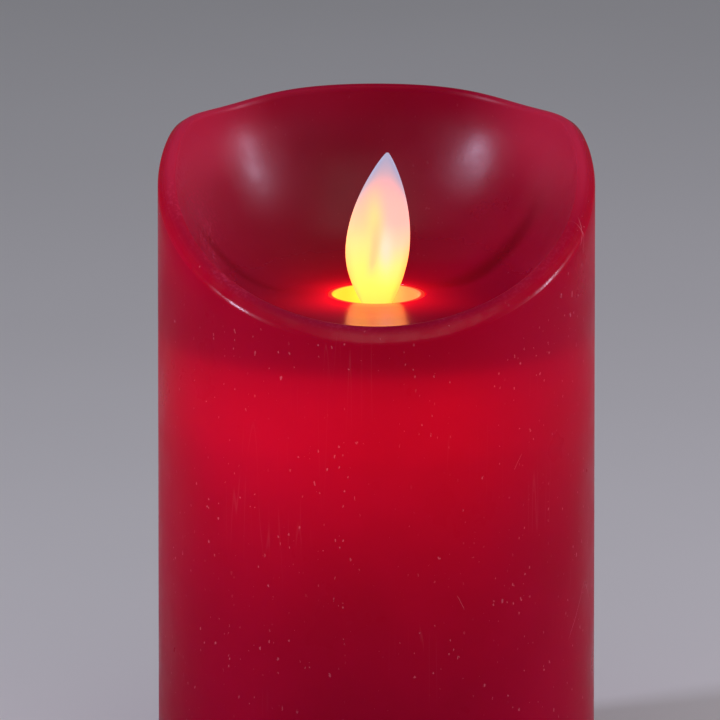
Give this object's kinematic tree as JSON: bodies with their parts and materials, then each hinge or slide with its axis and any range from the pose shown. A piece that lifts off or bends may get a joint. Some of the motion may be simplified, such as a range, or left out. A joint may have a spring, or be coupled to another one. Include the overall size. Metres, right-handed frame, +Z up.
{
  "type": "flameless led candle",
  "caption": "Battery-powered wax pillar candle with a bowl-shaped top, a swinging plastic flame lit from below, and a base with switch and battery door.",
  "frame": {"origin": "centre of the footprint on the table, under the four feet", "axes": "+Z up along the candle, -Y towards the low front of the rim, +X to the viewer's right"},
  "size_m": [0.08, 0.08, 0.125],
  "materials": {
    "red_wax": "glossy dyed wax with faint scuffs",
    "collar_plastic": "moulded white, lit from below",
    "flame_plastic": "thin translucent white, lit",
    "magnet_nickel": "nickel plated",
    "steel": "drawn wire",
    "screw_steel": "zinc plated",
    "ivory_plastic": "moulded, faintly translucent",
    "dark_plastic": "moulded",
    "copper": "enamelled copper wire",
    "led_epoxy": "clear epoxy, lit",
    "black_plastic": "fine texture",
    "board_green": "solder mask",
    "chip_black": "moulded",
    "capacitor_sleeve": "shrink sleeve",
    "resistor_ceramic": "coated",
    "cell_jacket": "printed jacket, plain",
    "contact_nickel": "nickel plated spring steel",
    "foot_rubber": "soft pad",
    "switch_metal": "stamped shell",
    "knob_plastic": "ribbed",
    "lead_red": "insulation",
    "lead_black": "insulation",
    "lead_grey": "insulation",
    "lead_white": "insulation"
  },
  "bodies": {
    "candle_body": {"wax_shell": "red_wax", "flame_collar": "collar_plastic", "column_front": "ivory_plastic", "column_rear": "ivory_plastic", "column_screws": "screw_steel", "deck_screws": "screw_steel", "coil_bobbin": "dark_plastic", "coil_winding": "copper", "led_bracket": "dark_plastic", "led_left": "led_epoxy", "led_right": "led_epoxy", "base_housing": "black_plastic", "circuit_board": "board_green", "control_chip": "chip_black", "capacitor": "capacitor_sleeve", "resistors": "resistor_ceramic", "board_screws": "screw_steel", "battery_tray": "black_plastic", "battery_front": "cell_jacket", "battery_rear": "cell_jacket", "positive_contact": "contact_nickel", "negative_contact": "contact_nickel", "bridge_contact": "contact_nickel", "base_plate": "black_plastic", "base_screws": "screw_steel", "feet": "foot_rubber", "switch_housing": "switch_metal", "battery_lead_red": "lead_red", "battery_lead_black": "lead_black", "switch_leads": "lead_grey", "coil_leads": "copper", "led_leads": "lead_white"},
    "pivot_wire": {"pivot_wire": "steel"},
    "flame": {"flame_leaf": "flame_plastic", "flame_magnet": "magnet_nickel"},
    "switch_knob": {"switch_knob": "knob_plastic"},
    "battery_door": {"battery_door": "black_plastic"}
  },
  "joints": [
    {"name": "flame_sway", "type": "hinge", "parent": "candle_body", "child": "pivot_wire", "pos_m": [0, 0, 0.081], "axis": [0, 1, 0], "range_deg": [-12, 12]},
    {"name": "flame_nod", "type": "hinge", "parent": "pivot_wire", "child": "flame", "pos_m": [0, 0, 0.081], "axis": [1, 0, 0], "range_deg": [-5, 5]},
    {"name": "switch_slide", "type": "slide", "parent": "candle_body", "child": "switch_knob", "axis": [1, 0, 0], "range_m": [0, 0.004]},
    {"name": "door_swing", "type": "hinge", "parent": "candle_body", "child": "battery_door", "pos_m": [0, -0.015, 0.0015], "axis": [-1, 0, 0], "range_deg": [0, 60]}
  ]
}
